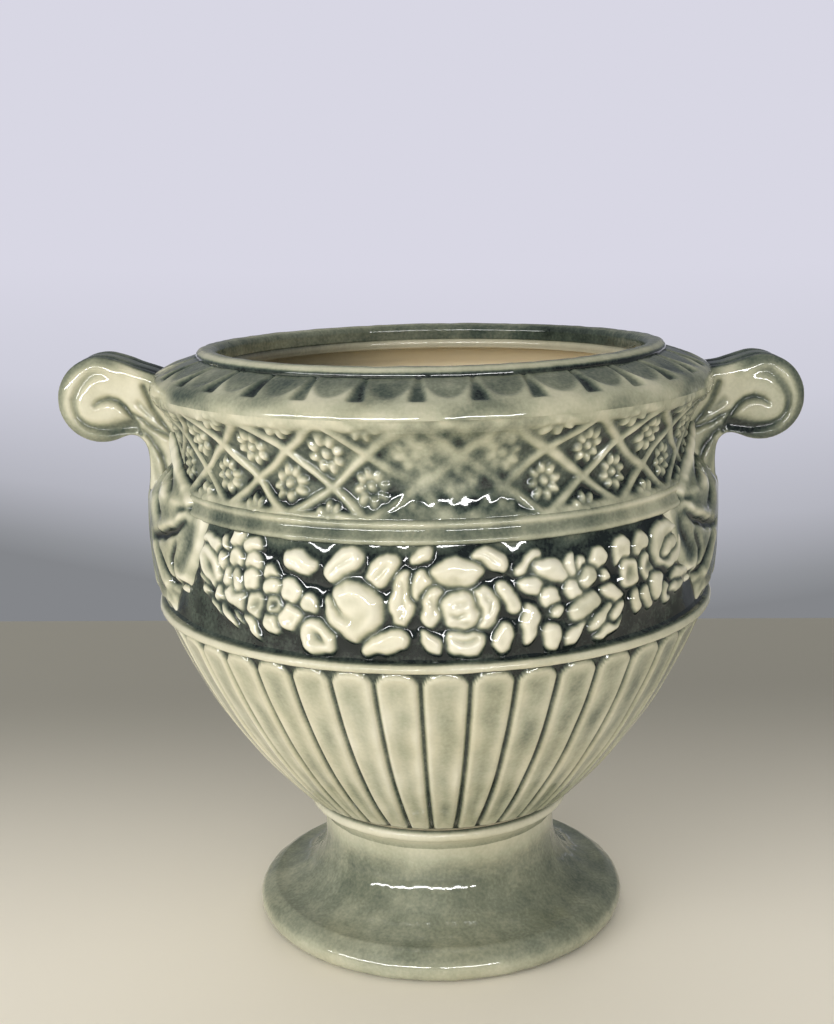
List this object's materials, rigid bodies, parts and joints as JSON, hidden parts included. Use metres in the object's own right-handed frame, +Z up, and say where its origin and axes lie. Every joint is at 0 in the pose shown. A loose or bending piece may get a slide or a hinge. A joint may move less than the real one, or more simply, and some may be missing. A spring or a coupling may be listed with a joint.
{
  "type": "footed planter",
  "caption": "Round footed porcelain planter with a fluted bowl, a garland frieze, a trellis collar, a petal shoulder and two scroll handles.",
  "frame": {"origin": "centre of the foot, on the surface the planter stands on", "axes": "+Z up along the axis of the body, +X towards the right-hand scroll handle, -Y towards the front as pictured"},
  "size_m": [0.211, 0.1612, 0.1715],
  "materials": {
    "cream_glaze": "gloss",
    "sage_glaze": "gloss",
    "slate_glaze": "gloss"
  },
  "bodies": {
    "root": {"foot": "sage_glaze", "waist_ring": "cream_glaze", "fluted_bowl": "cream_glaze", "lower_moulding": "cream_glaze", "frieze_band": "slate_glaze", "upper_moulding": "cream_glaze", "trellis_collar": "sage_glaze", "petal_shoulder": "sage_glaze", "mouth_lip": "cream_glaze", "handle_left": "cream_glaze", "handle_right": "cream_glaze", "leaf_mount_left": "cream_glaze", "leaf_mount_right": "cream_glaze", "garland_front": "cream_glaze", "garland_back": "cream_glaze", "florets_front": "cream_glaze", "florets_back": "cream_glaze"}
  },
  "joints": []
}
